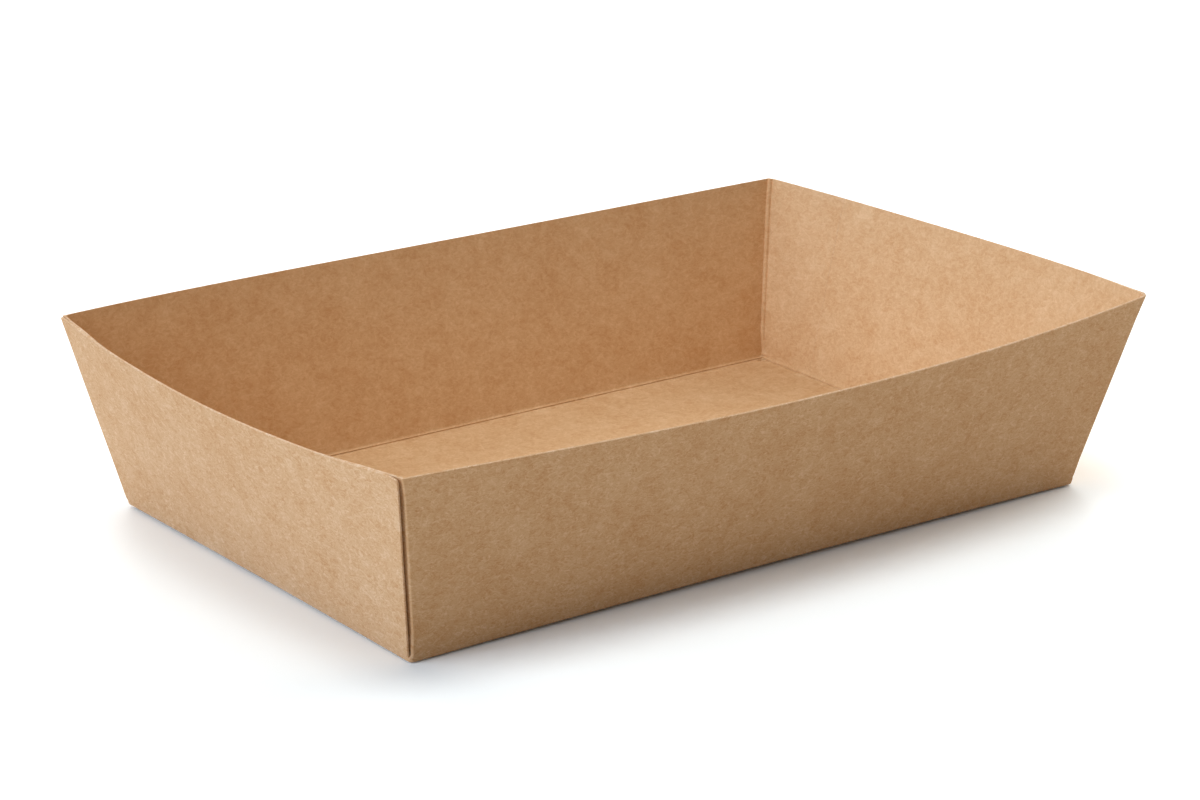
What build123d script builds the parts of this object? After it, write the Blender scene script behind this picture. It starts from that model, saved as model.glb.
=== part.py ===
from build123d import *
import os
from math import atan, cos, hypot, pi, sin, tan

# Shallow open tray, folded and glued from one cut sheet of kraft board.
# X runs along the tray, Y across it, Z up. The origin is the middle of the underside.
# The sheet has a base, two long walls, two end walls, and at each end of a long wall
# a glue flap that turns the corner and is glued to the inside of the end wall.

# Driving dimensions, in millimetres
base_length = 190.0
base_width = 116.0
tray_height = 46.0
wall_flare = 10.0
board = 0.5

# How much further out the middle of each wall stands than its corners, at their height
long_wall_bow = 7.2
end_wall_bow = 6.5

# Glue flaps, cut back towards the base, and how far the glue beds them into the end wall
flap_width_rim = 25.0
flap_width_base = 19.0
glue_press = 0.06

# Upright folds where the long walls turn into the flaps: outside radius, tighter at the
# base, and the height over which they open out to the radius that they keep up to the rim
fold_radius = 1.9
fold_radius_base = 0.7
fold_opening_height = 3.0

# Depth of the groove between a fold and the end wall, as a share of the fold's radius
fold_groove_share = 0.75

# How far the cut side edges of an end wall stop short of the long walls
edge_setback = 0.25
edge_setback_base = 0.1

# Creases round the base are rolled outside, and each crease has a raised bead inside
crease_roll = 1.1
crease_roll_steps = 4
bead_radius = 0.5
bead_inset = 0.4
bead_lift = 0.05

# How far a body used for cutting runs past what it cuts
overrun = 3.0

# Worked out from the sizes above
wall_lean = atan(wall_flare / tray_height)
wall_slant = hypot(tray_height, wall_flare)
board_run = board / cos(wall_lean)


class Level:
    """The tray's plan at one height, each size running straight from base to rim."""

    def __init__(self, height, inset=0.0):
        rise = height / tray_height
        opened = min(height / fold_opening_height, 1)
        self.height = height
        self.half_length = base_length / 2 + wall_flare * rise - inset
        self.half_width = base_width / 2 + wall_flare * rise - inset
        self.long_bow = long_wall_bow * rise
        self.end_bow = end_wall_bow * rise
        self.fold_radius = fold_radius_base + (fold_radius - fold_radius_base) * opened
        self.setback = edge_setback_base + (edge_setback - edge_setback_base) * opened
        self.flap_width = flap_width_base + (flap_width_rim - flap_width_base) * rise
        self.fold_x = self.half_length - board_run - self.fold_radius

    def end_wall(self, y, depth=0.0):
        """The point at y on an end wall's outer face, or at a depth behind that face."""
        bulge = self.end_bow * (1 - (y / self.half_width) ** 2)
        return (self.half_length + bulge - depth, y)

    def long_wall(self, x, depth=0.0):
        """The point at x on a long wall's outer face, or at a depth behind that face."""
        bulge = self.long_bow * (1 - (x / self.half_length) ** 2)
        return (x, self.half_width + bulge - depth)

    def end_wall_line(self, start, stop, depth=0.0):
        """The bowed line along an end wall, from one y to another."""
        near_x, far_x = self.end_wall(start, depth)[0], self.end_wall(stop, depth)[0]
        pull = self.end_bow * ((stop - start) / self.half_width) ** 2 / 2
        return Bezier((near_x, start), ((near_x + far_x) / 2 + pull, (start + stop) / 2), (far_x, stop))

    def long_wall_line(self, start, stop, depth=0.0):
        """The bowed line along a long wall, from one x to another."""
        near_y, far_y = self.long_wall(start, depth)[1], self.long_wall(stop, depth)[1]
        pull = self.long_bow * ((stop - start) / self.half_length) ** 2 / 2
        return Bezier((start, near_y), ((start + stop) / 2, (near_y + far_y) / 2 + pull), (stop, far_y))

    def fold_arc(self, fold, end):
        """An upright fold, which leaves the long wall in line with the wall's bow."""
        slope = -2 * self.long_bow * self.fold_x / self.half_length**2
        return TangentArc(fold, end, tangent=(1, slope))

    def outside_quarter(self):
        """Outline at the +X +Y corner, from the middle of the end wall to the long wall's."""
        edge_y = self.half_width - self.setback
        edge_outer = self.end_wall(edge_y)
        edge_inner = self.end_wall(edge_y, board_run)
        fold = self.long_wall(self.fold_x)
        groove = self.end_wall(fold[1] - self.fold_radius * fold_groove_share, board_run)
        return [
            self.end_wall_line(0, edge_y),
            Line(edge_outer, edge_inner),
            Line(edge_inner, groove),
            self.fold_arc(fold, groove),
            self.long_wall_line(self.fold_x, 0),
        ]

    def hollow_quarter(self):
        """Inside of the same corner: end wall, the flap's step, flap, fold and long wall."""
        flap_depth = 2 * board_run - glue_press
        flap_y = self.half_width - self.flap_width
        fold = self.long_wall(self.fold_x, board_run)
        turn_y = self.long_wall(self.fold_x)[1] - self.fold_radius
        return [
            self.end_wall_line(0, flap_y, board_run),
            Line(self.end_wall(flap_y, board_run), self.end_wall(flap_y, flap_depth)),
            self.end_wall_line(flap_y, turn_y, flap_depth),
            self.fold_arc(fold, self.end_wall(turn_y, flap_depth)),
            self.long_wall_line(self.fold_x, 0, board_run),
        ]

    def fold_bead(self):
        """Section of the bead that stands up inside the fold of the +X +Y corner."""
        x, y = self.long_wall(self.fold_x, board_run)
        turn = (self.fold_radius - board_run) * sin(pi / 4)
        return Pos(x + turn, y - turn, self.height) * Circle(bead_radius)


def plan_section(level, quarter):
    """A whole plan section at a level's height, from one quarter of its outline."""
    half = quarter + [edge.mirror(Plane.YZ) for edge in quarter]
    whole = half + [edge.mirror(Plane.XZ) for edge in half]
    return Pos(0, 0, level.height) * make_face(whole)


def crease_levels():
    """Levels of the outside, up round the rolled crease to where it meets the wall."""
    levels = []
    for step in range(crease_roll_steps + 1):
        turn = (pi / 2 - wall_lean) * step / crease_roll_steps
        height = crease_roll * (1 - cos(turn))
        foot = crease_roll * (tan(pi / 4 - wall_lean / 2) - sin(turn))
        levels.append(Level(height, height * tan(wall_lean) + foot))
    return levels


def folded_board():
    """Base and walls with flat-topped rims: the tray's outside less its hollow."""
    above = [Level(fold_opening_height), Level(tray_height + overrun)]
    outside = [plan_section(level, level.outside_quarter()) for level in crease_levels() + above]
    hollow = [plan_section(level, level.hollow_quarter()) for level in [Level(board)] + above]
    return loft(outside, ruled=True) - loft(hollow, ruled=True)


def fold_beads():
    """Raised beads inside the four upright folds, from the base to past the rim."""
    levels = (Level(board / 2), Level(fold_opening_height), Level(tray_height + overrun))
    bead = loft([level.fold_bead() for level in levels], ruled=True)
    pair = [bead, mirror(bead, about=Plane.YZ)]
    return pair + [mirror(each, about=Plane.XZ) for each in pair]


def rim_dip(bow):
    """How far the middle of a rim sinks: the same depth of board leans out further there."""
    return tray_height * (1 - wall_slant / hypot(tray_height, wall_flare + bow))


def under_rim(half_span, bow, depth, plane):
    """The space below one pair of rims, which dip between their corners."""
    dip = rim_dip(bow)
    reach = half_span + bow + overrun
    spread = (reach / half_span) ** 2
    side = tray_height + dip * (spread - 1)
    middle = tray_height - dip * (spread + 1)
    profile = [
        Bezier((-reach, side), (0, middle), (reach, side)),
        Line((reach, side), (reach, -overrun)),
        Line((reach, -overrun), (-reach, -overrun)),
        Line((-reach, -overrun), (-reach, side)),
    ]
    return extrude(plane * make_face(profile), depth, both=True)


def crease_beads():
    """Raised beads inside the four creases of the base."""
    along = base_length / 2 - board_run - bead_inset
    across = base_width / 2 - board_run - bead_inset
    height = board + bead_lift
    long_bead = Cylinder(bead_radius, 2 * along, rotation=(0, 90, 0))
    end_bead = Cylinder(bead_radius, 2 * across, rotation=(90, 0, 0))
    corner = Sphere(bead_radius)
    beads = [Pos(0, side * across, height) * long_bead for side in (-1, 1)]
    beads += [Pos(side * along, 0, height) * end_bead for side in (-1, 1)]
    beads += [Pos(x * along, y * across, height) * corner for x in (-1, 1) for y in (-1, 1)]
    return beads


def tray():
    """The folded sheet: walls trimmed to their dipping rims, and the beads raised inside."""
    rim_half_length = base_length / 2 + wall_flare
    rim_half_width = base_width / 2 + wall_flare
    reach = rim_half_length + rim_half_width
    body = folded_board() + fold_beads()
    body &= under_rim(rim_half_length, long_wall_bow, reach, Plane.XZ)
    body &= under_rim(rim_half_width, end_wall_bow, reach, Plane.YZ)
    return body + crease_beads()


os.makedirs("parts", exist_ok=True)
export_step(tray(), "parts/tray.step")
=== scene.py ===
from math import atan, cos, hypot, pi, radians, sin

import bpy
import numpy as np
from mathutils import Matrix, Vector, noise


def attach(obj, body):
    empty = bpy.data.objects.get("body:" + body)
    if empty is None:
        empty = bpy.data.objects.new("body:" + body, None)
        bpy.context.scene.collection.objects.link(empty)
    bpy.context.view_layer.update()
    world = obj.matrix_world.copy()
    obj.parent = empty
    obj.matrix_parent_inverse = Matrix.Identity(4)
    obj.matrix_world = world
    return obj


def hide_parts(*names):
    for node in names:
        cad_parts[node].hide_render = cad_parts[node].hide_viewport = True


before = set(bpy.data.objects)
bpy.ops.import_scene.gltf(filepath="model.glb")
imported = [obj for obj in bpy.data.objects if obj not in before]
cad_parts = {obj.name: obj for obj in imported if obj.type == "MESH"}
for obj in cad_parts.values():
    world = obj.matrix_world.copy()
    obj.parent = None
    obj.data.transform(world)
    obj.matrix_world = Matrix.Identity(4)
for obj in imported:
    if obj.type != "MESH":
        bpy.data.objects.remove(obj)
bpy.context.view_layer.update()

# Open tray, folded and glued from one sheet of kraft board, on a pale table.
# X runs along the tray, Y across it, Z up. The origin is the middle of the underside.
# One quarter of the sheet is laid out as rows of points, from the base over the creases and
# up the walls. It is mirrored into the true tray, which then settles out of true a little.

MM = 0.001

# The folded sheet, with the sizes that its solid has
base_length = 190 * MM
base_width = 116 * MM
tray_height = 46 * MM
wall_flare = 10 * MM
board = 0.5 * MM
long_wall_bow = 7.2 * MM
end_wall_bow = 6.5 * MM
flap_width_rim = 25 * MM
flap_width_base = 19 * MM

# Creases round the base: how far the rolled part reaches each way, how blunt it is, and the
# sharper edge that stands out from that
crease_reach = 2.4 * MM
crease_bluntness = 0.5 * MM
crease_edge_height = 0.22 * MM
crease_edge_spread = 0.45 * MM

# Inside each crease there is a bead at the wall's foot and a lower one on the base
wall_bead_height = 0.34 * MM
wall_bead_offset = 0.2 * MM
base_bead_height = 0.12 * MM
base_bead_offset = 1.2 * MM
bead_spread = 0.52 * MM

# Upright folds: rounder where they start at the base's corners, with a flat run on each side
fold_radius = 0.55 * MM
base_corner_radius = 0.9 * MM
fold_run = 1.7 * MM

# Inside each upright fold the run on the flap has a bead, and a groove that ends it
upright_bead_height = 0.34 * MM
upright_bead_spread = 0.42 * MM
upright_bead_offset = 0.55 * MM
upright_groove_depth = 0.42 * MM
upright_groove_spread = 0.17 * MM
upright_groove_offset = 1.2 * MM

# The slot at each upright fold starts above a small web, and opens over this height
web_height = 0.9 * MM
slot_opening = 1.6 * MM
# How much faster than that the flap moves in behind the end wall, and the end wall's edge
# moves from the end of the corner's arc to its own place
board_apart_speed = 2
edge_apart_speed = 3
# How far up from the crease the base's rounded corner has its whole radius
corner_growth_end = web_height / 2

# The end wall's cut side edge stops short of the fold, and its corner at the rim is rounded
edge_setback_rim = 0.25 * MM
edge_setback_base = 0.65 * MM
edge_corner_radius = 0.8 * MM

# The glue flap lies against the end wall with a gap that opens towards the fold, less so
# near the rim, and its free edge and its foot are pressed thin
flap_gap = 0.01 * MM
flap_gap_at_fold = 0.38 * MM
flap_gap_at_rim = 0.14 * MM
flap_gap_rim_reach = 5 * MM
flap_gap_spread = 1.5 * MM
flap_pressed_width = 15 * MM
flap_pressed_share = 0.03
flap_foot_width = 7 * MM

# Cut edges bulge between the faces of the board: share of the way across, share of the bulge
cut_edge_bulge = 0.07 * MM
cut_edge_profile = ((0.15, 0.7), (0.5, 1.0), (0.85, 0.7))

# The board is slightly wavy
wave_height = 0.07 * MM
wave_length = 16 * MM

# Spacing of the mesh
crease_rows = 49
wall_rows = 22
rim_rows = 4
long_columns = 44
end_columns = 30
corner_columns = 38
flap_columns = 9

# Points nearer than this are one point, and lengths below this are none
weld_distance = 1e-7
tiny = 1e-12

# How this tray has settled out of true. A corner or wall is named by the way that it faces
# along X and Y, and a corner shifts by these amounts along X, Y and Z.
rim_corner_shifts = {
    (-1, 1): (-0.65 * MM, -0.05 * MM, -0.65 * MM),
    (-1, -1): (0.45 * MM, -0.65 * MM, -0.6 * MM),
    (1, -1): (2.6 * MM, 0.25 * MM, 0.72 * MM),
    (1, 1): (-0.3 * MM, -0.05 * MM, -0.9 * MM),
}
base_corner_shifts = {
    (-1, 1): (-0.15 * MM, 0.1 * MM, 0.4 * MM),
    (-1, -1): (-0.9 * MM, -1.3 * MM, 0),
    (1, -1): (-0.7 * MM, -1.4 * MM, 0.15 * MM),
    (1, 1): (0.15 * MM, -0.1 * MM, 0),
}
# Each wall: more bow, more sag of the rim, lopsided sag, and shift and lift of its base line
wall_changes = {
    (0, -1): (-0.1 * MM, -0.05 * MM, 0.43 * MM, 0.5 * MM, 0.95 * MM),
    (0, 1): (0.1 * MM, 0.15 * MM, 0.22 * MM, 0, 0),
    (-1, 0): (-0.55 * MM, -0.15 * MM, -0.1 * MM, 0.08 * MM, 0.5 * MM),
    (1, 0): (0.55 * MM, -0.25 * MM, 0.15 * MM, 0.2 * MM, 0),
}
# Makes a lopsided sag as deep as its amount says where it is deepest
skew_scale = 2.6
# The base stands on its middle, and its creases are this far up from the floor
base_clearance = 0.25 * MM

# How closely each change to the base keeps to its place: powers of how near a point is to it
clearance_power = 4
corner_lift_power = 3
base_shift_power = 2
base_lift_power = 4

# Where an end wall's cut edge has sprung away from its flap: shift at the rim along X, Y
# and Z, and how far along the wall that fades
sprung_edges = {
    (-1, 1): (-0.05 * MM, 0, -0.05 * MM, 5 * MM),
    (-1, -1): (-0.5 * MM, 0, -0.35 * MM, 2.4 * MM),
    (1, -1): (0, 0.5 * MM, 0.2 * MM, 5 * MM),
}
# How much of that shift is left at the base, and how much of its rise or drop the flap shares
sprung_share_at_base = 0.5
flap_share_of_drop = 0.6

# Kraft board outside, inside and at its cut edges: colour, how marked and how soft its fibres are, and
# roughness. The inside colour is lighter and more orange than the outside because it has painted light in
# it: it stands in for light bounced between the walls inside the tray.
kraft_kinds = (
    ("kraft_outside", (0.587, 0.354, 0.172), 0.78, 1.0, 0.8),
    ("kraft_inside_bounce_lit", (0.62, 0.357, 0.154), 0.42, 1.7, 0.8),
    ("kraft_cut", (0.6, 0.375, 0.2), 0.85, 1.0, 0.9),
)
kraft_gloss = 0.93
# How far each of red, green and blue swings with the board's tone, and the tone in the middle
kraft_depth = (0.2, 0.38, 0.66)
middle_tone = 0.5
noise_average = 0.5

# Clouds in the board: their size, detail, and how strongly they colour and raise it
kraft_clouds = (
    (14 * MM, 2.0, 0.38, 0.0),
    (4 * MM, 2.0, 0.4, 0.0),
    (1.6 * MM, 3.0, 0.22, 0.3),
)
# Fibres in the board: width, length, turn, bend, and how strongly they colour and raise it
kraft_fibres = (
    (0.35 * MM, 3.2 * MM, (35, 50, 0), 0.6, 0.35, 0.4),
    (0.3 * MM, 2.6 * MM, (-40, 75, 60), 0.7, 0.35, 0.0),
    (0.45 * MM, 3.6 * MM, (80, -30, 20), 0.6, 0.3, 0.0),
)
fibre_detail = 1.0
# Single hairs: size of their curls, width as a share of it, place, average, and how strongly
# they colour and raise the board
kraft_hairs = (
    (1.7 * MM, 0.035, 0.0, 0.13, 0.4, 0.4),
    (1.3 * MM, 0.04, 0.3, 0.15, -0.35, 0.0),
    (0.9 * MM, 0.045, 0.7, 0.17, 0.3, 0.0),
)
hair_stretch = (0.6, 0.6, 1)
hair_detail = 1.5
hair_bend = 0.8
relief_depth = 0.018 * MM

# The numbers of a Mix node's two inputs and its output, for plain values and for colours
mix_sockets = {"FLOAT": (2, 3, 0), "RGBA": (6, 7, 2)}

# The camera, fitted to the photograph's corners, creases and rims. The sensor is in mm.
camera_azimuth = radians(-37.22)
camera_elevation = radians(18.61)
camera_roll = radians(0.595)
camera_distance = 901.3 * MM
camera_target = Vector((0.98, 3.63, 22.25)) * MM
focal_pixels = 3849
photo_width = 1200
sensor_width = 36

# A pale table, as wide as it has to be for the views from lower down. The camera sees it
# brighter and less warm than the tray does, so that it fades into the white background.
floor_reach = 3000 * MM
floor_colour = (0.78, 0.7, 0.6, 1)
floor_colour_seen = (1.1, 1.13, 1.1, 1)

# Light colours, from white to the coolest, for the side that is coolest in the photograph
plain = (1, 1, 1)
cool = (0.93, 1.02, 1.12)
cooler = (0.88, 1.05, 1.32)
coolest = (0.79, 1.1, 1.65)

# Soft lamps: azimuth, elevation, strength and colour. Azimuth 0 is from -Y, 90 from +X.
lamps = (
    ("lamp_left_low", 270, 9, 0.18, coolest),
    ("lamp_left", 270, 22, 0.16, cooler),
    ("lamp_left_high", 270, 42, 0.15, cool),
    ("lamp_left_back", 240, 22, 0.13, cooler),
    ("lamp_left_front", 300, 22, 0.09, plain),
    ("lamp_front", 0, 42, 0.04, plain),
    ("lamp_right_low", 90, 22, 0.1, plain),
    ("lamp_right", 90, 42, 0.13, plain),
    ("lamp_right_high", 90, 64, 0.1, plain),
    ("lamp_right_back", 120, 42, 0.14, plain),
    ("lamp_back_low", 135, 9, 0.18, plain),
    ("lamp_back", 150, 22, 0.3, plain),
    ("lamp_back_high", 180, 42, 0.18, plain),
    ("lamp_top", 0, 90, 0.2, plain),
)
lamp_angle = radians(25)
light_level = 1.106

# A faint glow all round, which the camera sees as white
white = (1, 1, 1, 1)
world_glow = 0.1
world_glow_seen = 1.0

# Worked out from the sizes above
half_length = base_length / 2
half_width = base_width / 2
wall_lean = atan(wall_flare / tray_height)
wall_slant = hypot(tray_height, wall_flare)


def blend(start, end, share):
    """From start at a share of 0 to end at 1."""
    return start + (end - start) * share


def smooth_step(share):
    """0 to 1 with level ends, for shares from 0 to 1."""
    share = np.clip(share, 0, 1)
    return share * share * (3 - 2 * share)


def bump(distance, spread):
    """1 at distance 0, fading to 0 on both sides."""
    return np.exp(-((distance / spread) ** 2))


def unit(vectors):
    """Vectors scaled to length 1."""
    return vectors / np.maximum(np.linalg.norm(vectors, axis=-1, keepdims=True), tiny)


def bowed_lean(bow, place):
    """How far a bowed wall leans, at a place from 0 in its middle to 1 at its corner."""
    return np.arctan((wall_flare + bow * (1 - place**2)) / tray_height)


def crease_relief(distance):
    """How much thicker the board is than plain, at a distance up the wall from the crease."""
    on_wall = wall_bead_height * bump(distance - wall_bead_offset, bead_spread)
    return on_wall + base_bead_height * bump(distance + base_bead_offset, bead_spread)


def row_distances():
    """Close together over the crease, then evenly up the wall and closer again at the rim."""
    crease = np.linspace(-crease_reach, crease_reach, crease_rows)
    wall = np.linspace(crease_reach, wall_slant - edge_corner_radius, wall_rows + 1)[1:]
    turn = np.linspace(0, pi / 2, rim_rows + 1)[1:]
    rim = wall_slant - edge_corner_radius * (1 - np.sin(turn))
    return np.concatenate([crease, wall, rim])


class Row:
    """One line round the tray at a distance up the board, measured from the crease."""

    def __init__(self, distance):
        bluntness = crease_bluntness * max(0.0, 1 - (distance / crease_reach) ** 2)
        span = hypot(distance, bluntness)
        self.inward = (span - distance) / 2
        self.up = (span + distance) / 2
        self.height = self.up * cos(wall_lean)
        self.rise = self.height / tray_height
        run = self.up * sin(wall_lean) - self.inward
        self.half_length = half_length + run
        self.half_width = half_width + run
        self.thickness = board + crease_relief(distance)
        self.proud = crease_edge_height * bump(distance, crease_edge_spread)

        self.closed = self.height <= web_height
        self.opened = float(smooth_step((self.height - web_height) / slot_opening))
        self.board_apart = min(1.0, board_apart_speed * self.opened)
        self.foot = float(smooth_step((self.height - web_height) / flap_foot_width))
        self.flap_board = board * blend(flap_pressed_share, 1, self.foot)
        self.flap_width = blend(flap_width_base, flap_width_rim, self.rise)
        rim_share = float(smooth_step(1 - (wall_slant - distance) / flap_gap_rim_reach))
        self.fold_gap = blend(flap_gap, blend(flap_gap_at_fold, flap_gap_at_rim, rim_share), self.foot)

        growth = float(smooth_step((distance + crease_reach) / (crease_reach + corner_growth_end)))
        closed_radius = base_corner_radius * growth
        self.fold_radius = blend(closed_radius, fold_radius, self.opened)
        rounding = np.clip(1 - (wall_slant - distance) / edge_corner_radius, 0, 1)
        setback = blend(edge_setback_base, edge_setback_rim, self.rise)
        setback += edge_corner_radius * (1 - float(np.sqrt(1 - rounding**2)))
        self.setback = blend(closed_radius, setback, min(1, edge_apart_speed * self.opened))

    def end_wall(self, y):
        """Points on the outside of the +X end wall."""
        lean = bowed_lean(end_wall_bow, y / self.half_width)
        x = half_length - self.inward + self.up * np.sin(lean)
        return np.stack([x, y, self.up * np.cos(lean)], -1)

    def end_wall_inwards(self, y):
        """Unit vectors from the end wall's outside towards the inside."""
        lean = bowed_lean(end_wall_bow, y / self.half_width)
        slope = 2 * end_wall_bow * self.rise * y / self.half_width**2
        return unit(np.stack([-np.cos(lean), -slope * np.cos(lean), np.sin(lean)], -1))

    def long_wall(self, x):
        """Points on the outside of the +Y long wall."""
        lean = bowed_lean(long_wall_bow, x / self.half_length)
        y = half_width - self.inward + self.up * np.sin(lean)
        return np.stack([x, y, self.up * np.cos(lean)], -1)

    def long_wall_inwards(self, x):
        """Unit vectors from the long wall's outside towards the inside."""
        lean = bowed_lean(long_wall_bow, x / self.half_length)
        slope = 2 * long_wall_bow * self.rise * x / self.half_length**2
        return unit(np.stack([-slope * np.cos(lean), -np.cos(lean), np.sin(lean)], -1))

    def flap_outside(self, y, gap):
        """Points on the face of the flap that lies against the end wall."""
        depth = board * self.board_apart + np.asarray(gap)
        return self.end_wall(y) + self.end_wall_inwards(y) * depth[..., None]

    def fold_section(self):
        """Outside and inside of the upright fold, from the long wall round to the flap."""
        half_arc = self.fold_radius * pi / 4
        reach = fold_run + half_arc
        along = np.linspace(-reach, reach, corner_columns + 1)
        outside = self.fold_outside(along, half_arc)
        return outside, self.fold_inside(outside, along, reach)

    def fold_outside(self, along, half_arc):
        """Points on the long wall, round the arc and on the flap, by distance along them."""
        radius = self.fold_radius
        flap_x = self.flap_outside(np.array(self.half_width - radius), self.fold_gap)[0]
        middle_x = flap_x - radius
        wall_end = self.long_wall(np.array(middle_x))
        middle_y = wall_end[1] - radius
        turn = (np.clip(along / half_arc, -1, 1) + 1) * pi / 4
        run = np.maximum(np.abs(along) - half_arc, 0)
        wall = self.long_wall(middle_x - run)
        flap = self.flap_outside(middle_y - run, np.full_like(run, self.fold_gap))
        step = flap[corner_columns // 2, 2] - wall_end[2]
        arc = np.stack([
            middle_x + radius * np.sin(turn),
            middle_y + radius * np.cos(turn),
            wall_end[2] + step * turn / (pi / 2),
        ], -1)
        straight = np.where((along < 0)[:, None], wall, flap)
        return np.where((run > 0)[:, None], straight, arc)

    def fold_inside(self, outside, along, reach):
        """Points on two straight runs that meet in a corner, with a bead and groove by the flap."""
        flap_inwards = self.end_wall_inwards(outside[-1, 1])
        wall_in = outside[0] + self.long_wall_inwards(outside[0, 0]) * board
        flap_in = outside[-1] + flap_inwards * self.flap_board
        wall_way = outside[0] - outside[1]
        flap_way = outside[-1] - outside[-2]
        ways = np.array([-wall_way[:2], flap_way[:2]]).T
        wall_share = np.linalg.solve(ways, wall_in[:2] - flap_in[:2])[0]
        corner = wall_in + wall_way * wall_share
        corner[2] = (wall_in[2] + flap_in[2]) / 2

        on_wall = (along < 0)[:, None]
        share = np.abs(along)[:, None] / reach
        inside = blend(corner, np.where(on_wall, wall_in, flap_in), share)
        distance = share * np.linalg.norm(wall_in - corner)
        relief = upright_bead_height * bump(distance - upright_bead_offset, upright_bead_spread)
        relief -= upright_groove_depth * bump(distance - upright_groove_offset, upright_groove_spread)
        return inside + flap_inwards * np.where(on_wall, 0, relief * self.foot)


class Sheet:
    """Points on the sheet's outside, as a table with one line for each point.

    A line has the point, its inside point if that is given, the thickness of the board, the
    share by which the given inside point counts, how far the outside stands proud, and the
    shares by which the point springs and drops with a cut edge.
    """

    def __init__(self):
        self.lines = []

    def add(self, points, thickness, inside=None, inside_share=0, proud=0, sprung=0, dropped=0):
        """Adds points and gives their numbers."""
        first = len(self.lines)
        count = len(points)
        numbers = (thickness, inside_share, proud, sprung, dropped)
        numbers = [np.broadcast_to(number, count) for number in numbers]
        self.lines.extend(np.column_stack([points, points if inside is None else inside] + numbers))
        return list(range(first, first + count))

    def add_base(self, row):
        """The flat of the base, out to the first row of the creases."""
        x_places = np.linspace(0, 1, long_columns + 1) * (row.half_length - row.fold_radius)
        y_places = np.linspace(0, 1, end_columns + 1) * (row.half_width - row.fold_radius)
        flat = np.zeros_like(y_places)
        return [self.add(np.stack([flat + x, y_places, flat], -1), board) for x in x_places]

    def add_end_wall(self, row):
        """A row of the end wall, from its middle to its cut edge."""
        points = row.end_wall(np.linspace(0, 1, end_columns + 1) * (row.half_width - row.setback))
        return self.add(points, row.thickness, proud=row.proud, sprung=row.opened, dropped=row.opened)

    def add_closed_corner(self, row, end):
        """A row of the long wall and the corner where the sheet is whole, to the end wall's end."""
        turn = np.linspace(0, pi / 2, corner_columns + 1)[1:-1]
        wall_x = row.half_length - row.fold_radius
        wall = row.long_wall(np.linspace(0, 1, long_columns + 1) * wall_x)
        corner = np.stack([
            wall_x + row.fold_radius * np.sin(turn),
            row.half_width - row.fold_radius * (1 - np.cos(turn)),
            np.full_like(turn, self.lines[end][2]),
        ], -1)
        corner_board = min(row.thickness, max(board, row.fold_radius))
        ids = self.add(wall, row.thickness, proud=row.proud)
        return ids + self.add(corner, corner_board, proud=row.proud) + [end]

    def add_open_corner(self, row):
        """A row of the long wall and the upright fold, and a row of the flap."""
        corner, corner_inside = row.fold_section()
        drops = flap_share_of_drop * row.opened * smooth_step(np.linspace(0, 1, corner_columns + 1))
        wall = row.long_wall(np.linspace(0, 1, long_columns + 1) * corner[0, 0])
        ids = self.add(wall, row.thickness)
        ids += self.add(corner[1:], row.thickness, corner_inside[1:], row.opened, dropped=drops[1:])

        reach = row.flap_width - (row.half_width - corner[-1, 1])
        inset = np.linspace(0, 1, flap_columns + 1) * reach
        gaps = blend(flap_gap, row.fold_gap, bump(inset, flap_gap_spread))
        flap = row.flap_outside(corner[-1, 1] - inset, gaps)
        pressed = smooth_step((inset[-1] - inset) / flap_pressed_width)
        thickness = board * blend(flap_pressed_share, 1, pressed * row.foot)
        return ids, ids[-1:] + self.add(flap[1:], thickness[1:], dropped=drops[-1])


def grid_faces(grid):
    """Faces between the rows of point numbers in a grid. Repeated points close a face up."""
    faces = []
    for row, after in zip(grid, grid[1:]):
        for a, b, c, d in zip(row, row[1:], after[1:], after):
            face = [p for p, before in zip((a, b, c, d), (d, a, b, c)) if p != before]
            if len(face) > 2:
                faces.append(face)
    return faces


def quarter_sheet():
    """Outside of the +X +Y quarter of the sheet, as its table of points and its faces."""
    sheet = Sheet()
    first, *rows = [Row(distance) for distance in row_distances()]
    base = sheet.add_base(first)
    end_grid = [base[-1]]
    long_grid = [[line[-1] for line in base] + [base[-1][-1]] * corner_columns]
    flap_grid = []
    for row in rows:
        end_grid.append(sheet.add_end_wall(row))
        if row.closed:
            end = end_grid[-1][-1]
            long_grid.append(sheet.add_closed_corner(row, end))
            flap_grid = [[end] * (flap_columns + 1)]
        else:
            long_ids, flap_ids = sheet.add_open_corner(row)
            long_grid.append(long_ids)
            flap_grid.append(flap_ids)
    faces = grid_faces(base) + grid_faces(end_grid)
    faces += [face[::-1] for face in grid_faces(long_grid) + grid_faces(flap_grid)]
    return np.array(sheet.lines), faces


def whole_sheet():
    """The four quarters joined where they meet, as a table of points and faces."""
    quarter, faces = quarter_sheet()
    tables, all_faces = [], []
    for x in (1, -1):
        for y in (1, -1):
            start = len(tables) * len(quarter)
            tables.append(quarter.copy())
            tables[-1][:, 0:6] *= (x, y, 1, x, y, 1)
            turned = x * y < 0
            all_faces += [[p + start for p in (face[::-1] if turned else face)] for face in faces]
    table = np.concatenate(tables)
    keys = np.round(table[:, 0:3] / weld_distance).astype(np.int64)
    _, first, joined = np.unique(keys, axis=0, return_index=True, return_inverse=True)
    joined = joined.ravel().tolist()
    return table[first], [[joined[p] for p in face] for face in all_faces]


def point_normals(points, faces):
    """Unit vectors out of the sheet at each point, from its faces by the root of their area."""
    corners = np.array([face + face[-1:] * (4 - len(face)) for face in faces])
    a, b, c, d = (points[corners[:, side]] for side in range(4))
    flat = np.cross(c - a, d - b)
    flat /= np.sqrt(np.maximum(np.linalg.norm(flat, axis=1, keepdims=True), tiny))
    normals = np.zeros_like(points)
    for side in range(4):
        np.add.at(normals, corners[:, side], flat)
    return unit(normals)


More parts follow.
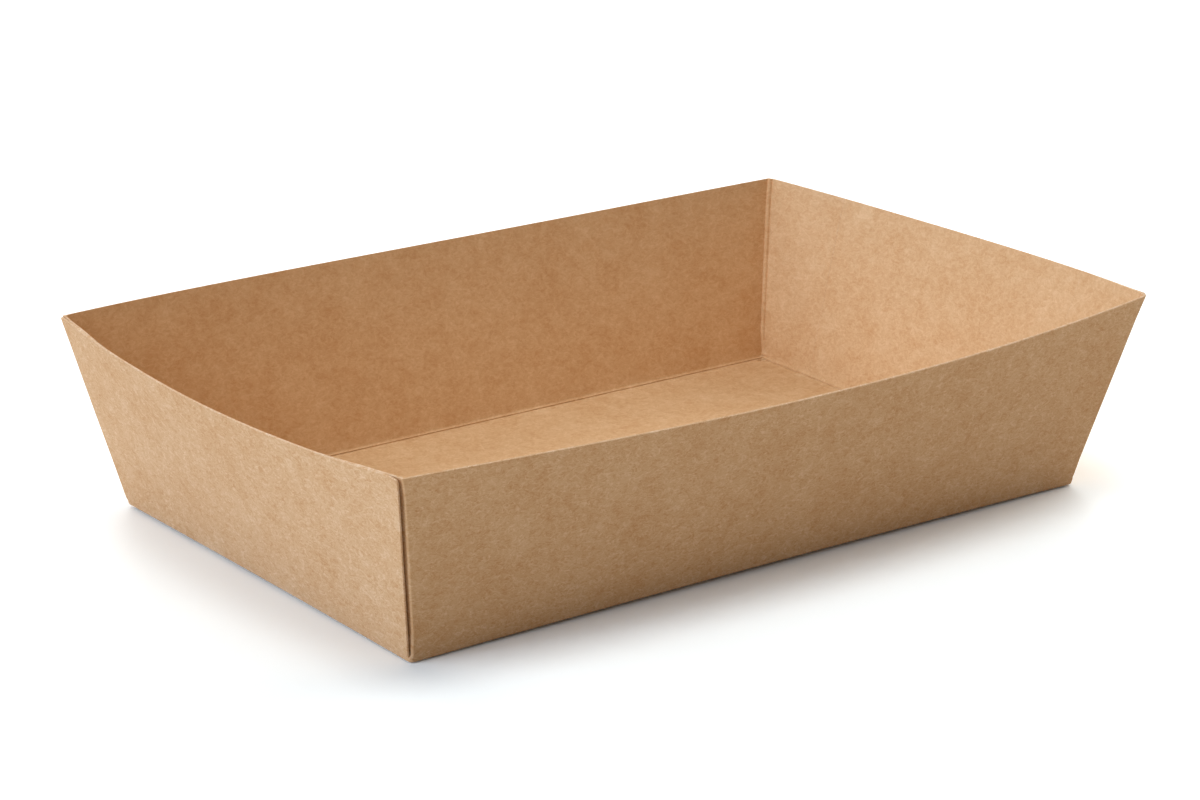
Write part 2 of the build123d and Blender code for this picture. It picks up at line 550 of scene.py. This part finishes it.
def waves(points):
    """How far the wavy board stands out at each point."""
    heights = np.array([noise.noise(Vector(point / wave_length)) for point in points]) * wave_height
    return heights * np.clip(points[:, 2] / crease_reach, 0, 1)


def cut_edges(outside, inside, normals, faces):
    """The cut edges: their own points, the outside point beside each, and their faces."""
    sides = [side for face in faces for side in zip(face, face[1:] + face[:1])]
    joined = set(sides)
    border = [(a, b) for a, b in sides if (b, a) not in joined]
    away = {}
    for a, b in border:
        for p in (a, b):
            away[p] = away.get(p, 0) + np.cross(outside[b] - outside[a], normals[p])

    points, beside, rungs = [], [], {}
    for p, way in away.items():
        first = 2 * len(outside) + len(points)
        for share, bulge in cut_edge_profile:
            point = blend(outside[p], inside[p], share)
            points.append(point + unit(way) * cut_edge_bulge * bulge)
            beside.append(p)
        rungs[p] = [p, *range(first, first + len(cut_edge_profile)), p + len(outside)]

    cut = []
    for a, b in border:
        steps = zip(rungs[b], rungs[a], rungs[a][1:], rungs[b][1:])
        cut += [list(step) for step in steps]
    return points, beside, cut


def near_corner(sides, u, v):
    """1 at a corner of the tray, falling to 0 along both of its walls."""
    return (1 + sides[0] * u) / 2 * (1 + sides[1] * v) / 2


def settle(points, sprung, dropped):
    """Moves points of the true tray to where this one has settled."""
    x, y, z = points.T
    rise = z / tray_height
    reach_x = half_length + wall_flare * rise
    reach_y = half_width + wall_flare * rise
    u = np.clip(x / reach_x, -1, 1)
    v = np.clip(y / reach_y, -1, 1)
    moved = points.copy()
    moved[:, 2] += base_clearance * np.maximum(np.abs(u), np.abs(v)) ** clearance_power
    for sides, shift in rim_corner_shifts.items():
        moved += (near_corner(sides, u, v) * rise)[:, None] * np.array(shift)
    for sides, shift in base_corner_shifts.items():
        near = near_corner(sides, u, v)
        moved[:, :2] += (near * (1 - rise))[:, None] * np.array(shift[:2])
        moved[:, 2] += near**corner_lift_power * (1 - rise) * shift[2]
    for (side_x, side_y), (bow, sag, skew, base_shift, base_lift) in wall_changes.items():
        near = (1 + side_x * u + side_y * v) / 2
        along = v if side_x else u
        middle = 1 - along**2
        out = middle * (bow * rise * near + base_shift * (1 - rise) * near**base_shift_power)
        moved[:, :2] += out[:, None] * np.array((side_x, side_y))
        lopsided = along * middle * skew_scale
        moved[:, 2] -= rise * near * (sag * middle + skew * lopsided)
        moved[:, 2] += base_lift * middle * (1 - rise) * near**base_lift_power
    for (side_x, side_y), (*shift, spread) in sprung_edges.items():
        near = (x * side_x > 0) * (y * side_y > 0) * bump(reach_y - np.abs(y), spread)
        near = near * blend(sprung_share_at_base, 1, rise)
        moved += near[:, None] * np.stack([sprung, sprung, dropped], -1) * np.array(shift)
    return moved


def board_mesh():
    """The settled sheet: its points, the faces of the board's two sides, and of its cut edges."""
    table, faces = whole_sheet()
    outside, inside_given = table[:, 0:3], table[:, 3:6]
    thickness, inside_share, proud, sprung, dropped = table[:, 6:].T
    normals = point_normals(outside, faces)
    inside = blend(outside - normals * thickness[:, None], inside_given, inside_share[:, None])
    wave = normals * waves(outside)[:, None]
    outside = outside + normals * proud[:, None] + wave
    inside = inside + wave

    count = len(outside)
    back = [[p + count for p in reversed(face)] for face in faces]
    edge_points, beside, cut = cut_edges(outside, inside, normals, faces)
    owners = [*range(count), *range(count), *beside]
    points = np.concatenate([outside, inside, np.array(edge_points)])
    return settle(points, sprung[owners], dropped[owners]), faces, back, cut


def add_node(tree, kind, sockets, **settings):
    """A shader node. Each socket is given a value, or another node's output to link to."""
    node = tree.nodes.new("ShaderNode" + kind)
    for name, value in settings.items():
        setattr(node, name, value)
    for name, value in sockets.items():
        if isinstance(value, bpy.types.NodeSocket):
            tree.links.new(value, node.inputs[name])
        else:
            node.inputs[name].default_value = value
    return node


def new_material(name):
    """A material with nothing in it: itself, its node tree, and the node that it ends in."""
    material = bpy.data.materials.new(name)
    material.use_nodes = True
    tree = material.node_tree
    tree.nodes.clear()
    return material, tree, tree.nodes.new("ShaderNodeOutputMaterial")


def mixed(tree, kind, factor, first, second):
    """First at a factor of 0 and second at 1, as plain values or as colours."""
    low, high, output = mix_sockets[kind]
    sockets = {"Factor": factor, low: first, high: second}
    return add_node(tree, "Mix", sockets, data_type=kind).outputs[output]


def weighted_sum(tree, parts):
    """The middle tone, plus how far each part's output is from its average, times its weight."""
    total = middle_tone - sum(average * weight for _, average, weight in parts)
    for output, _, weight in parts:
        sockets = {0: output, 1: weight, 2: total}
        total = add_node(tree, "Math", sockets, operation="MULTIPLY_ADD").outputs[0]
    return total


def fibre_noise(tree, place, across, along, turn, bend):
    """Noise drawn out along one turned direction, as short bent fibres."""
    scale = (1 / across, 1 / across, 1 / along)
    angles = [radians(angle) for angle in turn]
    turned = add_node(tree, "Mapping", {"Vector": place, "Rotation": angles})
    drawn = add_node(tree, "Mapping", {"Vector": turned.outputs[0], "Scale": scale})
    sockets = {"Vector": drawn.outputs[0], "Scale": 1, "Detail": fibre_detail, "Distortion": bend}
    return add_node(tree, "TexNoise", sockets).outputs["Fac"]


def curled_hairs(tree, place, size, width, shift):
    """Thin curling lines, 1 on a line and 0 beside it: where a noise passes its average."""
    moved = add_node(tree, "Mapping", {"Vector": place, "Location": (shift, 0, 0), "Scale": hair_stretch})
    sockets = {"Vector": moved.outputs[0], "Scale": 1 / size, "Detail": hair_detail, "Distortion": hair_bend}
    field = add_node(tree, "TexNoise", sockets).outputs["Fac"]
    offset = add_node(tree, "Math", {0: field, 1: noise_average}, operation="SUBTRACT").outputs[0]
    offset = add_node(tree, "Math", {0: offset}, operation="ABSOLUTE").outputs[0]
    fading = {"Value": offset, "From Min": 0, "From Max": width, "To Min": 1, "To Max": 0}
    return add_node(tree, "MapRange", fading).outputs[0]


def kraft_material(name, colour, fine, softness, roughness):
    """Kraft board: cloudy, with fibres and hairs that are more or less marked and soft."""
    material, tree, output = new_material(name)
    place = add_node(tree, "TexCoord", {}).outputs["Object"]
    tones, reliefs = [], []
    for size, detail, tone, relief in kraft_clouds:
        sockets = {"Vector": place, "Scale": 1 / size, "Detail": detail}
        cloud = add_node(tree, "TexNoise", sockets).outputs["Fac"]
        tones.append((cloud, noise_average, tone))
        reliefs.append((cloud, noise_average, relief))
    for across, along, turn, bend, tone, relief in kraft_fibres:
        fibres = fibre_noise(tree, place, across * softness, along, turn, bend)
        tones.append((fibres, noise_average, tone * fine))
        reliefs.append((fibres, noise_average, relief))
    for size, width, shift, average, tone, relief in kraft_hairs:
        hairs = curled_hairs(tree, place, size, width * softness, shift)
        tones.append((hairs, average * softness, tone * fine))
        reliefs.append((hairs, average * softness, relief))
    tone = weighted_sum(tree, tones)
    height = weighted_sum(tree, [part for part in reliefs if part[2]])
    dark = [part * (1 - depth) for part, depth in zip(colour, kraft_depth)] + [1]
    light = [part * (1 + depth) for part, depth in zip(colour, kraft_depth)] + [1]
    brown = mixed(tree, "RGBA", tone, dark, light)
    bumps = add_node(tree, "Bump", {"Height": height, "Distance": relief_depth, "Strength": 1})
    face = add_node(tree, "BsdfPrincipled", {
        "Base Color": brown,
        "Normal": bumps.outputs[0],
        "Roughness": roughness,
        "Specular IOR Level": kraft_gloss,
    })
    tree.links.new(face.outputs[0], output.inputs["Surface"])
    return material


def mark_cut_lines(mesh):
    """Marks the lines where a side of the board meets its cut edge as sharp."""
    kinds = {}
    for face in mesh.polygons:
        for key in face.edge_keys:
            kinds.setdefault(key, set()).add(face.material_index)
    for edge in mesh.edges:
        edge.use_edge_sharp = len(kinds[edge.key]) > 1


def add_object(name, data):
    """An object in the scene, with its data."""
    added = bpy.data.objects.new(name, data)
    bpy.context.scene.collection.objects.link(added)
    return added


def make_tray():
    """The folded sheet as one mesh, with a material for each kind of its faces."""
    points, *kinds = board_mesh()
    mesh = bpy.data.meshes.new("kraft_tray")
    mesh.from_pydata(points.tolist(), [], sum(kinds, []))
    mesh.polygons.foreach_set("use_smooth", [True] * len(mesh.polygons))
    slots = [slot for slot, faces in enumerate(kinds) for _ in faces]
    mesh.polygons.foreach_set("material_index", slots)
    for kind in kraft_kinds:
        mesh.materials.append(kraft_material(*kind))
    mesh.update()
    mark_cut_lines(mesh)
    return add_object("kraft_tray", mesh)


def towards(azimuth, elevation):
    """Unit vector towards a point seen at an azimuth and elevation from the tray."""
    return Vector((
        sin(azimuth) * cos(elevation),
        -cos(azimuth) * cos(elevation),
        sin(elevation),
    ))


def make_camera():
    """The camera, at the photograph's viewing angle."""
    data = bpy.data.cameras.new("camera")
    data.sensor_width = sensor_width
    data.lens = focal_pixels * sensor_width / photo_width
    away = towards(camera_azimuth, camera_elevation)
    facing = away.to_track_quat("Z", "Y").to_matrix()
    camera = add_object("camera", data)
    camera.location = camera_target + away * camera_distance
    camera.rotation_euler = (facing @ Matrix.Rotation(camera_roll, 3, "Z")).to_euler()
    bpy.context.scene.camera = camera


def make_floor():
    """A pale floor that the camera sees as white, apart from the tray's shadow."""
    corners = [(x * floor_reach, y * floor_reach, 0) for x, y in ((-1, -1), (1, -1), (1, 1), (-1, 1))]
    mesh = bpy.data.meshes.new("floor")
    mesh.from_pydata(corners, [], [(0, 1, 2, 3)])
    material, tree, output = new_material("floor_paper")
    seen = add_node(tree, "LightPath", {}).outputs["Is Camera Ray"]
    colour = mixed(tree, "RGBA", seen, floor_colour, floor_colour_seen)
    paper = add_node(tree, "BsdfDiffuse", {"Color": colour})
    tree.links.new(paper.outputs[0], output.inputs["Surface"])
    mesh.materials.append(material)
    floor = add_object("floor", mesh)


def make_lamps():
    """Large soft lamps round the tray."""
    for name, azimuth, elevation, strength, colour in lamps:
        data = bpy.data.lights.new(name, "SUN")
        data.energy = pi * strength * light_level
        data.color = colour
        data.angle = lamp_angle
        direction = towards(radians(azimuth), radians(elevation))
        add_object(name, data).rotation_euler = direction.to_track_quat("Z", "Y").to_euler()


def make_world():
    """The glow all round."""
    world = bpy.data.worlds.new("studio")
    bpy.context.scene.world = world
    world.use_nodes = True
    tree = world.node_tree
    background = tree.nodes["Background"]
    background.inputs["Color"].default_value = white
    seen = add_node(tree, "LightPath", {}).outputs["Is Camera Ray"]
    strength = mixed(tree, "FLOAT", seen, world_glow, world_glow_seen)
    tree.links.new(strength, background.inputs["Strength"])


tray = make_tray()
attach(tray, "root")
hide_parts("tray")

make_camera()
make_floor()
make_lamps()
make_world()
bpy.context.scene.view_settings.view_transform = "Standard"
